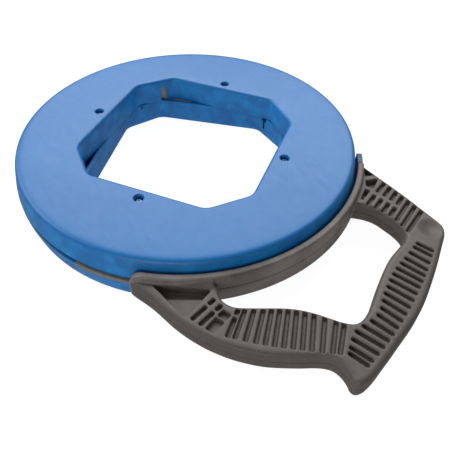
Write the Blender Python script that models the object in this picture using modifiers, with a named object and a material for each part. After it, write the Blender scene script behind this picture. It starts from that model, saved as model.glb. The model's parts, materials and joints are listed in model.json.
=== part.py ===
"""Fish tape reel: a round two-part case that turns inside a two-part D handle, with a steel tape coiled in it.

Every dimension is in millimetres and every angle in degrees; the mesh helpers turn them into metres and radians.
Outlines are drawn about the case's axis, +X towards the grip, and heights are measured from the surface that
the case rests on.
"""
import math

import bmesh
import bpy
from mathutils import Matrix, Vector

MM = 0.001
OBJECT_NAME = "fish_tape_reel"

# Case
CASE_RADIUS = 155.4          # at the rim slot
CASE_EDGE_RADIUS = 152.4     # at the rounded top and bottom edges
CASE_HEIGHT = 46.0
MID = CASE_HEIGHT / 2
GAP = 0.15                   # half of the gap left between two pieces that meet at mid height
PLATE = 2.5                  # wall thickness of the shells
LOWER_WALL = 3.6             # thickness of the wall round the lower half's opening
RIM_INNER_RADIUS = 152.7
SLOT_HALF_HEIGHT = 2.5       # of the slot that runs round the rim
CASE_TURN = 29.1             # rest angle of the case in the handle
CASE_STEPS = 120

# Square opening through the case, with cut and rounded corners
OPENING_HALF_WIDTH = 82.2
OPENING_CORNER_DISTANCE = 96.0
OPENING_CORNER_RADIUS = 13.0
LOWER_OPENING_TURN = 9.7     # the lower half's opening is turned this much further
SLIT_REACH = (-4.0, 8.0)     # how far each slit's cutter reaches either side of the cut corner's inner face
# Slits in the opening's wall: (angle, width, height above or below mid height), wide at the parting line
UPPER_SLITS = [(130.0, 6.5, 9.0), (130.0, 4.2, 15.0)]
LOWER_SLITS = [(60.4, 7.0, 5.0), (60.4, 3.0, 14.0)]

# Case screws
CASE_SCREW_CIRCLE = 93.0
BOSS_RADIUS = 6.2
SCREW_RECESS_RADIUS = 4.2
SCREW_RECESS_DEPTH = 8.0
CASE_SCREW_HEAD_RADIUS = 3.4
CASE_SCREW_HEAD_HEIGHT = 2.4
CASE_SCREW_SHANK_RADIUS = 1.9
CASE_SCREW_HOLE_RADIUS = 2.3
CASE_SCREW_TIP = 8.0

# Tape
TAPE_WIDTH = 3.2
TAPE_THICKNESS = 1.5
COIL_INNER_RADIUS = 134.0
COIL_OUTER_RADIUS = 147.0
COIL_HALF_HEIGHT = 8.0
LEADER_ANGLE = 25.5          # where the tape leaves the coil
LEADER_LENGTH = 52.5
TIP_LENGTH = 5.0
TIP_WIDTH = 4.2
TIP_THICKNESS = 1.9
TIP_TAPER = 1.6
TAIL_START = (102.5, 142.5)  # radius and angle of the tail's inner end
TAIL_TURN = 190.0
TAIL_STEPS = 40
CLIP_THICKNESS = 1.1
CLIP_TAB_LOW = 21.3          # the clip's flat tab lies just below mid height
CLIP_TAB_HIGH = 22.5
CLIP_TAB_START = 20.0        # measured along the lower wall's side
CLIP_TAB_DEPTH = 5.0
CLIP_ARM_TOP = 37.5

# Handle
SADDLE_INNER_RADIUS = 156.0
SADDLE_OUTER_RADIUS = 161.5
SADDLE_START = -51.7
SADDLE_END = 41.5
SADDLE_HALF_HEIGHT = 14.5
SADDLE_START_ROUND = 9.6     # rounding of the saddle's far corner at each end
SADDLE_END_ROUND = 6.0
LEG_HALF_HEIGHT = 9.5
LEG_ROOT_RADIUS = 146.0      # the legs' outline runs on to here before it is cut off inside the saddle
LEG_END_RADIUS = 157.5
LEG_EDGE_ROUND = 3.2
FINGER_START = -29.4         # the finger opening's stretch of the saddle
FINGER_END = 22.4
SLOT_DEPTH = 5.5
SLOT_WIDTH = 3.1
POCKET_DEPTH = 7.5

# Guide rail and nozzle
RAIL_START = -69.5
RAIL_END = 29.5
RAIL_WEB_HALF_HEIGHT = 1.75
RAIL_WEB_OUTER_RADIUS = 157.4
RAIL_FLANGE_INNER_RADIUS = 149.6
RAIL_FLANGE_OUTER_RADIUS = 152.2
RAIL_FLANGE_HALF_HEIGHT = 6.0
NOZZLE_OUTER_RADIUS = 161.2
NOZZLE_END = 46.7
NOZZLE_HALF_HEIGHT = 11.0
TENON_START = 37.0
TENON_INNER_RADIUS = 157.8
TENON_OUTER_RADIUS = 160.2
TENON_HALF_HEIGHT = 3.0

# Handle screws, driven up from below
HANDLE_SCREW_PLACES = [(209.5, 86.0), (251.0, -52.5), (122.0, -117.6), (138.5, 83.0), (146.3, -88.5), (231.2, 8.2)]
HANDLE_SCREW_HEAD_RADIUS = 2.7
HANDLE_SCREW_HEAD_HEIGHT = 1.8
HANDLE_SCREW_RECESS_RADIUS = 3.0
HANDLE_SCREW_RECESS_DEPTH = 2.6
HANDLE_SCREW_SHANK_RADIUS = 1.1
HANDLE_SCREW_HOLE_RADIUS = 1.4
HANDLE_SCREW_TIP = 29.5
CLEARANCE = 0.3              # left between pieces that touch on the real reel
TRIM_REACH = 20.0            # size of the block that trims each half at mid height
TRIM_SPAN = 400.0

# Outer edge of the handle, from the saddle's lower end round the grip to its upper end
HANDLE_OUTER_POINTS = [
    (100.4, -126.6), (105.0, -126.0), (123.0, -121.8), (148.0, -118.6), (168.0, -113.0), (184.5, -105.4),
    (197.0, -97.2), (207.8, -88.0), (220.3, -73.8), (228.3, -63.6), (235.2, -57.6), (242.0, -56.2),
    (248.6, -57.4), (252.8, -59.2), (256.5, -58.2), (258.4, -54.0), (258.7, -49.0), (258.2, -43.0),
    (257.0, -35.0), (253.4, -13.0), (247.1, 19.0), (234.4, 53.2), (221.2, 82.8), (216.8, 92.0), (211.9, 97.6),
    (205.8, 99.8), (188.0, 101.8), (167.0, 104.0), (121.5, 106.6),
]
# Edge of the finger opening, from the saddle's lower side round to its upper side
FINGER_POINTS = [
    (141.0, -77.6), (148.5, -82.4), (155.5, -84.4), (162.0, -82.8), (166.5, -79.6), (173.6, -71.3),
    (185.0, -57.2), (193.0, -48.9), (202.5, -41.8), (212.9, -36.0), (220.5, -31.6), (225.8, -26.6),
    (227.0, -20.0), (225.2, -12.0), (221.8, -3.5), (214.6, 11.9), (209.3, 24.5), (204.6, 38.5), (202.2, 52.0),
    (200.4, 61.5), (195.8, 68.4), (187.5, 71.2), (176.0, 71.6), (166.5, 71.0), (157.5, 67.2), (146.8, 59.0),
]

# Ends of the grip's cross slots and of the lower leg's slots, on smooth lines through every third slot
GRIP_SLOT_INNER_POINTS = [(208.1, 65.6), (211.5, 46.3), (215.2, 26.9), (222.3, 8.4), (230.5, -9.9), (229.8, -31.6),
                          (237.5, -47.6)]
GRIP_SLOT_OUTER_POINTS = [(222.3, 68.8), (230.4, 49.6), (236.6, 32.1), (242.5, 12.3), (247.4, -7.7), (250.8, -26.4),
                          (253.0, -44.5)]
LEG_SLOT_INNER_POINTS = [(168.5, -80.8), (179.1, -67.2), (190.0, -54.2), (203.8, -43.1), (221.7, -32.7)]
LEG_SLOT_OUTER_POINTS = [(180.6, -101.0), (195.8, -89.6), (209.6, -77.6), (222.6, -65.2), (235.6, -52.8)]
FOOT_SLOTS = [((151.8, -88.3), (155.3, -111.2), 3.0), ((158.7, -87.6), (162.0, -109.6), 3.2),
              ((165.2, -89.6), (170.4, -106.4), 5.4)]
# Open pockets in the upper half's top face
POCKETS = {
    "foot": [(113.9, -115.6), (143.2, -86.2), (144.5, -86.2), (151.0, -111.6), (149.4, -114.2)],
    "root_edge": [(124.3, 104.4), (136.4, 103.8), (132.6, 96.0)],
    "root_middle": [(136.6, 91.7), (141.6, 102.8), (146.3, 91.3), (146.4, 88.0), (141.2, 87.0)],
    "root_inner": [(143.3, 83.2), (147.3, 84.7), (151.2, 69.6), (149.0, 71.2)],
}

parts = bpy.data.collections.new(OBJECT_NAME)
cutters = bpy.data.collections.new(OBJECT_NAME + "_cutters")


def clear_scene():
    for obj in list(bpy.data.objects):
        bpy.data.objects.remove(obj, do_unlink=True)
    bpy.context.scene.collection.children.link(parts)
    bpy.context.scene.collection.children.link(cutters)


def polar(radius, angle):
    turn = math.radians(angle)
    return (radius * math.cos(turn), radius * math.sin(turn))


def arc(radius, start, end, steps):
    return [polar(radius, start + (end - start) * i / steps) for i in range(steps + 1)]


def smooth_path(points, steps=3):
    """A Catmull-Rom curve through the points, as a polyline with the given steps a span."""
    path = []
    last = len(points) - 1
    for i in range(last):
        p0, p1, p2, p3 = (Vector(points[min(max(k, 0), last)]) for k in (i - 1, i, i + 1, i + 2))
        for step in range(steps):
            t = step / steps
            point = 0.5 * (2 * p1 + (p2 - p0) * t + (2 * p0 - 5 * p1 + 4 * p2 - p3) * t * t
                           + (3 * p1 - p0 - 3 * p2 + p3) * t ** 3)
            path.append(tuple(point))
    path.append(tuple(points[-1]))
    return path


def opening_outline(offset=0.0, turn=0.0, corner_steps=3):
    """The case's square opening: four long sides and four cut corners, each of the eight corners rounded."""
    outline = []
    for i in range(8):
        distances = [OPENING_HALF_WIDTH + offset, OPENING_CORNER_DISTANCE + offset]
        first, second = distances[i % 2], distances[(i + 1) % 2]
        first_angle, second_angle = 45.0 * i + turn, 45.0 * (i + 1) + turn
        radius = OPENING_CORNER_RADIUS + offset
        corner = corner_point(first - radius, first_angle, second - radius, second_angle)
        for x, y in arc(radius, first_angle, second_angle, corner_steps):
            outline.append((corner[0] + x, corner[1] + y))
    return outline


def corner_point(first_distance, first_angle, second_distance, second_angle):
    """Where two lines meet, each given by its distance from the axis and its normal's angle."""
    normals = Matrix((polar(1.0, first_angle), polar(1.0, second_angle)))
    return normals.inverted() @ Vector((first_distance, second_distance))


def band(inner, outer, start, end, steps):
    return arc(outer, start, end, steps) + arc(inner, end, start, steps)


def strip(path, thickness):
    """The outline of a strip that follows a path and lies to the left of it."""
    far_side = []
    for i, point in enumerate(path):
        before = Vector(path[max(i - 1, 0)])
        after = Vector(path[min(i + 1, len(path) - 1)])
        along = (after - before).normalized()
        far_side.append((point[0] - along.y * thickness, point[1] + along.x * thickness))
    return list(path) + far_side[::-1]


def material(name, colour, roughness, metallic=0.0):
    made = bpy.data.materials.new(name)
    made.use_nodes = True
    shader = made.node_tree.nodes["Principled BSDF"]
    shader.inputs["Base Color"].default_value = (*colour, 1.0)
    shader.inputs["Roughness"].default_value = roughness
    shader.inputs["Metallic"].default_value = metallic
    return made


def add_object(name, mesh, is_cutter=False, parent=None):
    obj = bpy.data.objects.new(name, mesh)
    (cutters if is_cutter else parts).objects.link(obj)
    obj.parent = parent
    if is_cutter:
        obj.hide_render = True
        obj.display_type = "WIRE"
    return obj


def prism(name, outline, low, high, is_cutter=False, parent=None, edge_round=0.0):
    """An upright solid: a closed flat outline between two heights, its top and bottom edges rounded if asked."""
    curve = bpy.data.curves.new(name + "_outline", "CURVE")
    curve.dimensions = "2D"
    curve.fill_mode = "BOTH"
    curve.extrude = ((high - low) / 2 - edge_round) * MM
    curve.bevel_depth = edge_round * MM
    curve.bevel_resolution = 1
    curve.offset = -edge_round * MM
    spline = curve.splines.new("POLY")
    spline.points.add(len(outline) - 1)
    for point, (x, y) in zip(spline.points, outline):
        point.co = (x * MM, y * MM, 0.0, 1.0)
    spline.use_cyclic_u = True
    guide = bpy.data.objects.new(name + "_guide", curve)
    bpy.context.scene.collection.objects.link(guide)
    bpy.context.view_layer.update()
    mesh = bpy.data.meshes.new_from_object(guide.evaluated_get(bpy.context.evaluated_depsgraph_get()))
    bpy.data.objects.remove(guide)
    bm = bmesh.new()
    bm.from_mesh(mesh)
    bmesh.ops.remove_doubles(bm, verts=bm.verts, dist=0.00001)
    bmesh.ops.translate(bm, verts=bm.verts, vec=(0.0, 0.0, (low + high) / 2 * MM))
    bmesh.ops.recalc_face_normals(bm, faces=bm.faces)
    bm.to_mesh(mesh)
    bm.free()
    mesh.name = name
    return add_object(name, mesh, is_cutter, parent)


def lathe(name, profile, steps, is_cutter=False, parent=None, closed=False):
    """A turned solid: a profile of (radius, height) points that runs down its outer side."""
    mesh = bpy.data.meshes.new(name)
    edges = [(i, i + 1) for i in range(len(profile) - 1)]
    if closed:
        edges.append((len(profile) - 1, 0))
    mesh.from_pydata([(r * MM, 0.0, z * MM) for r, z in profile], edges, [])
    obj = add_object(name, mesh, is_cutter, parent)
    screw = obj.modifiers.new("turn", "SCREW")
    screw.steps = steps
    screw.render_steps = steps
    screw.use_merge_vertices = True
    screw.merge_threshold = 0.00001
    return obj


def boxes(name, places, low, high, parent=None):
    """One cutter holding a flat-ended box for each (start, end, width)."""
    bm = bmesh.new()
    for start, end, width in places:
        start, end = Vector(start), Vector(end)
        middle, run = (start + end) / 2, end - start
        turn = Matrix.Rotation(math.atan2(run.y, run.x), 4, "Z")
        size = Matrix.Diagonal((run.length * MM, width * MM, (high - low) * MM, 1.0))
        place = Matrix.Translation((middle.x * MM, middle.y * MM, (low + high) / 2 * MM))
        bmesh.ops.create_cube(bm, size=1.0, matrix=place @ turn @ size)
    return cutter_from(name, bm, parent)


def cylinders(name, centres, radius, low, high, sides=16, parent=None):
    """One cutter holding an upright cylinder at each centre."""
    bm = bmesh.new()
    half_step = Matrix.Rotation(math.pi / sides, 4, "Z")
    for x, y in centres:
        place = Matrix.Translation((x * MM, y * MM, (low + high) / 2 * MM)) @ half_step
        bmesh.ops.create_cone(bm, cap_ends=True, segments=sides, radius1=radius * MM, radius2=radius * MM,
                              depth=(high - low) * MM, matrix=place)
    return cutter_from(name, bm, parent)


def cutter_from(name, bm, parent):
    mesh = bpy.data.meshes.new(name)
    bm.to_mesh(mesh)
    bm.free()
    return add_object(name, mesh, True, parent)


def combine(target, other, operation):
    boolean = target.modifiers.new(other.name, "BOOLEAN")
    boolean.operation = operation
    boolean.object = other
    boolean.solver = "EXACT"


def cut(target, *others):
    for other in others:
        combine(target, other, "DIFFERENCE")


def join(target, *others):
    for other in others:
        combine(target, other, "UNION")


def trim_at_mid_height(half, side):
    """Cuts off whatever one half has beyond its share of the gap at mid height."""
    low, high = heights(side, -TRIM_REACH, GAP)
    square = [(-TRIM_SPAN, -TRIM_SPAN), (TRIM_SPAN, -TRIM_SPAN), (TRIM_SPAN, TRIM_SPAN), (-TRIM_SPAN, TRIM_SPAN)]
    cut(half, prism(half.name + "_trim", square, low, high, True, half.parent))


def finish(obj, surface):
    obj.data.materials.append(surface)
    obj.data.shade_smooth()
    obj.data.set_sharp_from_angle(angle=math.radians(35.0))


def heights(side, inner, outer):
    """Two distances from mid height, as (low, high) above (side 1) or below (side -1) it."""
    ends = (MID + side * inner, MID + side * outer)
    return min(ends), max(ends)


def case_profile(side):
    """Half section of one case half: flat face, soft shoulder, bulging rim and the edge of the slot."""
    from_mid = [(0.0, MID), (143.0, MID), (147.2, MID - 0.4), (150.0, MID - 1.2), (151.8, MID - 2.4),
                (CASE_EDGE_RADIUS, MID - 3.8), (153.6, MID - 10.0), (154.8, MID - 15.5),
                (CASE_RADIUS, SLOT_HALF_HEIGHT), (RIM_INNER_RADIUS - 0.5, SLOT_HALF_HEIGHT),
                (RIM_INNER_RADIUS - 0.5, -4.0), (0.0, -4.0)]
    profile = [(radius, MID + side * height) for radius, height in from_mid]
    return profile if side > 0 else profile[::-1]


def hollow_profile(side):
    """Half section of the space inside one case half: upright behind the rail's flange, then tapering inwards."""
    floor = MID - PLATE
    from_mid = [(0.0, floor), (148.8, floor), (150.2, floor - 1.5), (RIM_INNER_RADIUS, 8.0),
                (RIM_INNER_RADIUS, -6.0), (0.0, -6.0)]
    profile = [(radius, MID + side * height) for radius, height in from_mid]
    return profile if side > 0 else profile[::-1]


def case_half(name, side, opening_turn, wall, slits, axis, surface):
    """One half of the case: face plate, rim, opening wall with its slit, and four screw bosses."""
    shell = lathe(name, case_profile(side), CASE_STEPS, parent=axis)
    floor = MID - PLATE
    hollow = lathe(name + "_hollow", hollow_profile(side), CASE_STEPS, True, axis)
    low, high = heights(side, -8.0, floor + 1.0)
    cut(hollow, prism(name + "_core", opening_outline(wall, opening_turn), low, high, True, axis))
    screw_places = [polar(CASE_SCREW_CIRCLE, 90.0 * i) for i in range(4)]
    low, high = heights(side, -7.0, floor + 0.7)
    cut(hollow, cylinders(name + "_bosses", screw_places, BOSS_RADIUS, low, high, parent=axis))
    cut(shell, hollow)
    low, high = heights(side, -9.0, MID + 1.0)
    cut(shell, prism(name + "_opening", opening_outline(0.0, opening_turn), low, high, True, axis))
    for i, (angle, width, height) in enumerate(slits):
        low, high = heights(side, -9.4 - 0.2 * i, height)
        slit = [polar(OPENING_CORNER_DISTANCE + reach, angle) for reach in SLIT_REACH]
        cut(shell, boxes(f"{name}_slit_{i + 1}", [(*slit, width)], low, high, axis))
    low, high = heights(side, -10.0, MID + 1.0 if side > 0 else MID - PLATE)
    cut(shell, cylinders(name + "_screw_holes", screw_places, CASE_SCREW_HOLE_RADIUS, low, high, 12, axis))
    if side > 0:
        low, high = CASE_HEIGHT - SCREW_RECESS_DEPTH, CASE_HEIGHT + 1.0
        cut(shell, cylinders(name + "_recesses", screw_places, SCREW_RECESS_RADIUS, low, high, parent=axis))
    trim_at_mid_height(shell, side)
    finish(shell, surface)


def screw(name, centre, profile, steps, surface, parent=None):
    obj = lathe(name, profile, steps, parent=parent)
    obj.location = (centre[0] * MM, centre[1] * MM, 0.0)
    finish(obj, surface)


def case_screws(axis, surface):
    seat = CASE_HEIGHT - SCREW_RECESS_DEPTH + 0.05
    top = seat + CASE_SCREW_HEAD_HEIGHT
    profile = [(0.0, top), (CASE_SCREW_HEAD_RADIUS - 1.0, top), (CASE_SCREW_HEAD_RADIUS, top - 0.9),
               (CASE_SCREW_HEAD_RADIUS, seat), (CASE_SCREW_SHANK_RADIUS, seat),
               (CASE_SCREW_SHANK_RADIUS, CASE_SCREW_TIP + 1.5), (0.0, CASE_SCREW_TIP)]
    for i in range(4):
        screw(f"case_screw_{i + 1}", polar(CASE_SCREW_CIRCLE, 90.0 * i), profile, 16, surface, axis)


def tape_coil(axis, surface):
    inner, outer, half = COIL_INNER_RADIUS, COIL_OUTER_RADIUS, COIL_HALF_HEIGHT
    section = [(inner + 2.0, MID + half), (outer - 2.0, MID + half), (outer, MID + half - 2.5),
               (outer, MID - half + 2.5), (outer - 2.0, MID - half), (inner + 2.0, MID - half),
               (inner, MID - half + 2.5), (inner, MID + half - 2.5)]
    finish(lathe("tape_coil", section, 72, parent=axis, closed=True), surface)


def anchor_clip(axis, surface):
    """A flat tab beside the lower wall, bent up behind the upper wall's cut corner with an arm behind the slit."""
    side_angle = 90.0 + LOWER_OPENING_TURN
    out = Vector(polar(1.0, side_angle))
    along = Vector(polar(1.0, side_angle + 90.0))
    near = OPENING_HALF_WIDTH + LOWER_WALL + CLEARANCE
    corner = corner_point(OPENING_HALF_WIDTH + PLATE + CLEARANCE, 90.0,
                          OPENING_CORNER_DISTANCE + PLATE + CLEARANCE, 135.0)
    beyond = Vector(polar(1.0, 225.0))
    behind = Vector(polar(1.0, 135.0))
    riser = [corner + beyond * 4.0, corner + beyond * 11.5]
    tab = [out * near + along * CLIP_TAB_START, out * near + along * riser[1].dot(along),
           riser[1] + behind * (CLIP_THICKNESS + 0.1), riser[0] + behind * (CLIP_THICKNESS + 0.1),
           out * (near + CLIP_TAB_DEPTH) + along * CLIP_TAB_START]
    arm = [corner + beyond * reach + behind * 0.1 for reach in (8.5, 15.5)]
    clip = prism("tape_anchor_clip", [tuple(point) for point in tab], CLIP_TAB_LOW, CLIP_TAB_HIGH, parent=axis)
    join(clip, prism("clip_riser", strip(riser, -CLIP_THICKNESS), CLIP_TAB_LOW + 0.1, MID + 2.0, True, axis))
    join(clip, prism("clip_arm", strip(arm, -CLIP_THICKNESS), MID + 0.5, CLIP_ARM_TOP, True, axis))
    finish(clip, surface)


def tape_tail(axis, surface):
    """The innermost run of tape: a spiral from the anchor clip out to the coil."""
    start_radius, start_angle = TAIL_START
    growth = COIL_INNER_RADIUS - CLEARANCE - TAPE_THICKNESS - 0.4 - start_radius
    path = []
    for i in range(TAIL_STEPS + 1):
        share = i / TAIL_STEPS
        rise = share * share * (3.0 - 2.0 * share)
        path.append(polar(start_radius + growth * rise, start_angle + TAIL_TURN * share))
    tail = prism("tape_tail", strip(path, -TAPE_THICKNESS), MID - TAPE_WIDTH - 1.0, MID - 1.0, parent=axis)
    finish(tail, surface)


def tape_leader(line, surface):
    """The outermost run of tape, straight from the coil to the nozzle; its empty sits where it leaves the coil."""
    side = TAPE_THICKNESS / 2
    outline = [(-side, 0.0), (side, 0.0), (side, LEADER_LENGTH), (-side, LEADER_LENGTH)]
    leader = prism("tape_leader", outline, -TAPE_WIDTH / 2, TAPE_WIDTH / 2, parent=line)
    finish(leader, surface)
    side = TIP_THICKNESS / 2
    start = LEADER_LENGTH + CLEARANCE
    end = start + TIP_LENGTH
    outline = [(-side, start), (side, start), (side, end - TIP_TAPER), (side * 0.4, end), (-side * 0.4, end),
               (-side, end - TIP_TAPER)]
    tip = prism("tape_tip", outline, -TIP_WIDTH / 2, TIP_WIDTH / 2, parent=line)
    finish(tip, surface)


def guide_rail(surface):
    """T section: a web in the rim slot and a flange behind the rim wall."""
    web = band(RAIL_FLANGE_OUTER_RADIUS - 0.5, RAIL_WEB_OUTER_RADIUS, RAIL_START, RAIL_END, 34)
    rail = prism("guide_rail", web, MID - RAIL_WEB_HALF_HEIGHT, MID + RAIL_WEB_HALF_HEIGHT)
    flange = band(RAIL_FLANGE_INNER_RADIUS, RAIL_FLANGE_OUTER_RADIUS, RAIL_START, RAIL_END, 34)
    join(rail, prism("rail_flange", flange, MID - RAIL_FLANGE_HALF_HEIGHT, MID + RAIL_FLANGE_HALF_HEIGHT, True))
    finish(rail, surface)


def exit_nozzle(surface):
    """Block at the saddle's upper end: the tape runs through it along the coil's tangent."""
    body = band(SADDLE_INNER_RADIUS + 0.2, NOZZLE_OUTER_RADIUS, SADDLE_END + 0.1, NOZZLE_END, 5)
    nozzle = prism("exit_nozzle", body, MID - NOZZLE_HALF_HEIGHT, MID + NOZZLE_HALF_HEIGHT)
    tenon = band(TENON_INNER_RADIUS, TENON_OUTER_RADIUS, TENON_START, SADDLE_END + 1.0, 4)
    join(nozzle, prism("nozzle_tenon", tenon, MID - TENON_HALF_HEIGHT, MID + TENON_HALF_HEIGHT, True))
    start = Vector(leader_start())
    along = Vector(polar(1.0, LEADER_ANGLE + 90.0))
    channel = (tuple(start + along * 35.0), tuple(start + along * 90.0), TIP_THICKNESS + 0.8)
    half = TIP_WIDTH / 2 + 0.5
    cut(nozzle, boxes("nozzle_channel", [channel], MID - half, MID + half))
    finish(nozzle, surface)


def leader_start():
    return polar(COIL_OUTER_RADIUS + CLEARANCE + TAPE_THICKNESS / 2, LEADER_ANGLE)


def slots_between(inner_points, outer_points):
    """Slots that run between two smooth lines, three to each span of the lines' points."""
    inner, outer = smooth_path(inner_points, 3), smooth_path(outer_points, 3)
    return [(start, end, SLOT_WIDTH) for start, end in zip(inner, outer)]


def split_slot(start, end, width, first_share, second_share):
    """A slot parted by a web between two shares of its length."""
    start, end = Vector(start), Vector(end)
    return [(tuple(start), tuple(start.lerp(end, first_share)), width),
            (tuple(start.lerp(end, second_share)), tuple(end), width)]


def lower_leg_slots():
    """Slots from the finger opening's edge across the lower leg; a web splits the first."""
    places = slots_between(LEG_SLOT_INNER_POINTS, LEG_SLOT_OUTER_POINTS)
    return split_slot(*places[0], 0.20, 0.30) + places[1:]


def foot_slots():
    """Short slots beside the foot pocket, each split in two by a web."""
    places = []
    for start, end, width in FOOT_SLOTS:
        places += split_slot(start, end, width, 0.28, 0.38)
    return places


def upper_leg_slots():
    """Slots across the upper leg, out to its rounded edge; a web splits the first four."""
    places = []
    for i in range(7):
        outer = (148.6 + 6.85 * i, 104.0 - 0.53 * i)
        inner = (157.2 + 6.6 * i, 73.6 - 0.42 * (i - 3.2) ** 2)
        places += split_slot(outer, inner, SLOT_WIDTH, 0.44, 0.59) if i < 4 else [(outer, inner, SLOT_WIDTH)]
    return places


def handle_slots(on_top):
    places = slots_between(GRIP_SLOT_INNER_POINTS, GRIP_SLOT_OUTER_POINTS)
    places += lower_leg_slots() + foot_slots() + upper_leg_slots()
    if on_top:
        return places
    kept = []
    for start, end, width in places:
        middle_distances = [distance_to_run(Vector(spot), Vector(start), Vector(end))
                            for spot in HANDLE_SCREW_PLACES]
        if min(middle_distances) > HANDLE_SCREW_RECESS_RADIUS + width / 2 + 0.8:
            kept.append((start, end, width))
    return kept


def distance_to_run(point, start, end):
    run = end - start
    share = max(0.0, min(1.0, (point - start).dot(run) / run.length_squared))
    return (point - start.lerp(end, share)).length


def handle_half(name, side, surface):
    """One half of the handle: the legs and grip round the finger opening, joined to the tall curved saddle."""
    inner = smooth_path(FINGER_POINTS, 2)[::-1]
    outline = (smooth_path(HANDLE_OUTER_POINTS, 2) + arc(LEG_ROOT_RADIUS, SADDLE_END - 0.3, FINGER_END, 5) + inner
               + arc(LEG_ROOT_RADIUS, FINGER_START, SADDLE_START + 0.3, 7))
    low, high = heights(side, -8.0, LEG_HALF_HEIGHT)
    half = prism(name, outline, low, high, edge_round=LEG_EDGE_ROUND)
    cut(half, prism(name + "_bore", arc(LEG_END_RADIUS, 0.0, 357.0, 119), MID - 30.0, MID + 30.0, True))
    low, high = heights(side, -3.0, SADDLE_HALF_HEIGHT)
    band_outline = band(SADDLE_INNER_RADIUS, SADDLE_OUTER_RADIUS, SADDLE_START, SADDLE_END, 30)
    saddle = prism(name + "_saddle", band_outline, low, high, True)
    round_saddle_ends(saddle, side)
    join(half, saddle)
    low, high = heights(side, -7.0, RAIL_WEB_HALF_HEIGHT + CLEARANCE)
    groove = band(SADDLE_INNER_RADIUS - 2.0, RAIL_WEB_OUTER_RADIUS + CLEARANCE, SADDLE_START - 1.0, RAIL_END + 0.5, 30)
    cut(half, prism(name + "_groove", groove, low, high, True))
    low, high = heights(side, -9.3, TENON_HALF_HEIGHT + CLEARANCE)
    mortise = band(TENON_INNER_RADIUS - CLEARANCE, TENON_OUTER_RADIUS + CLEARANCE, TENON_START - 0.2,
                   SADDLE_END + 1.0, 4)
    cut(half, prism(name + "_mortise", mortise, low, high, True))
    low, high = heights(side, LEG_HALF_HEIGHT - SLOT_DEPTH, LEG_HALF_HEIGHT + 1.0)
    cut(half, boxes(name + "_slots", handle_slots(side > 0), low, high))
    if side > 0:
        cut_pockets(half, name)
    cut_screw_holes(half, name, side)
    trim_at_mid_height(half, side)
    finish(half, surface)


def round_saddle_ends(saddle, side):
    """Rounds the far corner of the saddle at its lower end, where it rises from the foot, and at its upper end."""
    far = (MID + side * SADDLE_HALF_HEIGHT) * MM
    widest = max(SADDLE_START_ROUND, SADDLE_END_ROUND)
    weights = saddle.data.attributes.new("bevel_weight_edge", "FLOAT", "EDGE")
    for edge in saddle.data.edges:
        ends = [saddle.data.vertices[i].co for i in edge.vertices]
        if any(abs(v.z - far) > 0.1 * MM for v in ends):
            continue
        for angle, rounding in ((SADDLE_START, SADDLE_START_ROUND), (SADDLE_END, SADDLE_END_ROUND)):
            if all(abs(math.degrees(math.atan2(v.y, v.x)) - angle) < 0.1 for v in ends):
                weights.data[edge.index].value = rounding / widest
    bevel = saddle.modifiers.new("rounded_ends", "BEVEL")
    bevel.width = widest * MM
    bevel.segments = 4
    bevel.limit_method = "WEIGHT"


def cut_pockets(half, name):
    """Open pockets in the top face: one in the foot of the lower leg, three at the root of the upper leg."""
    low, high = heights(1, LEG_HALF_HEIGHT - POCKET_DEPTH, LEG_HALF_HEIGHT + 1.0)
    for label, outline in POCKETS.items():
        cut(half, prism(f"{name}_pocket_{label}", outline, low, high, True))


def cut_screw_holes(half, name, side):
    if side > 0:
        cut(half, cylinders(name + "_screw_holes", HANDLE_SCREW_PLACES, HANDLE_SCREW_HOLE_RADIUS,
                            MID - 9.0, HANDLE_SCREW_TIP + CLEARANCE, 10))
    else:
        bottom = MID - LEG_HALF_HEIGHT
        cut(half, cylinders(name + "_screw_holes", HANDLE_SCREW_PLACES, HANDLE_SCREW_HOLE_RADIUS,
                            bottom - 1.0, MID + 9.0, 10))
        cut(half, cylinders(name + "_recesses", HANDLE_SCREW_PLACES, HANDLE_SCREW_RECESS_RADIUS,
                            bottom - 6.0, bottom + HANDLE_SCREW_RECESS_DEPTH, 14))


def handle_screws(surface):
    seat = MID - LEG_HALF_HEIGHT + HANDLE_SCREW_RECESS_DEPTH - 0.05
    bottom = seat - HANDLE_SCREW_HEAD_HEIGHT
    profile = [(0.0, HANDLE_SCREW_TIP), (HANDLE_SCREW_SHANK_RADIUS, HANDLE_SCREW_TIP - 1.0),
               (HANDLE_SCREW_SHANK_RADIUS, seat), (HANDLE_SCREW_HEAD_RADIUS, seat),
               (HANDLE_SCREW_HEAD_RADIUS, bottom + 0.7), (HANDLE_SCREW_HEAD_RADIUS - 0.8, bottom), (0.0, bottom)]
    for i, place in enumerate(HANDLE_SCREW_PLACES):
        screw(f"handle_screw_{i + 1}", place, profile, 12, surface)


def empty(name, x, y, z, turn):
    guide = bpy.data.objects.new(name, None)
    parts.objects.link(guide)
    guide.location = (x * MM, y * MM, z * MM)
    guide.rotation_euler.z = math.radians(turn)
    return guide


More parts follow.
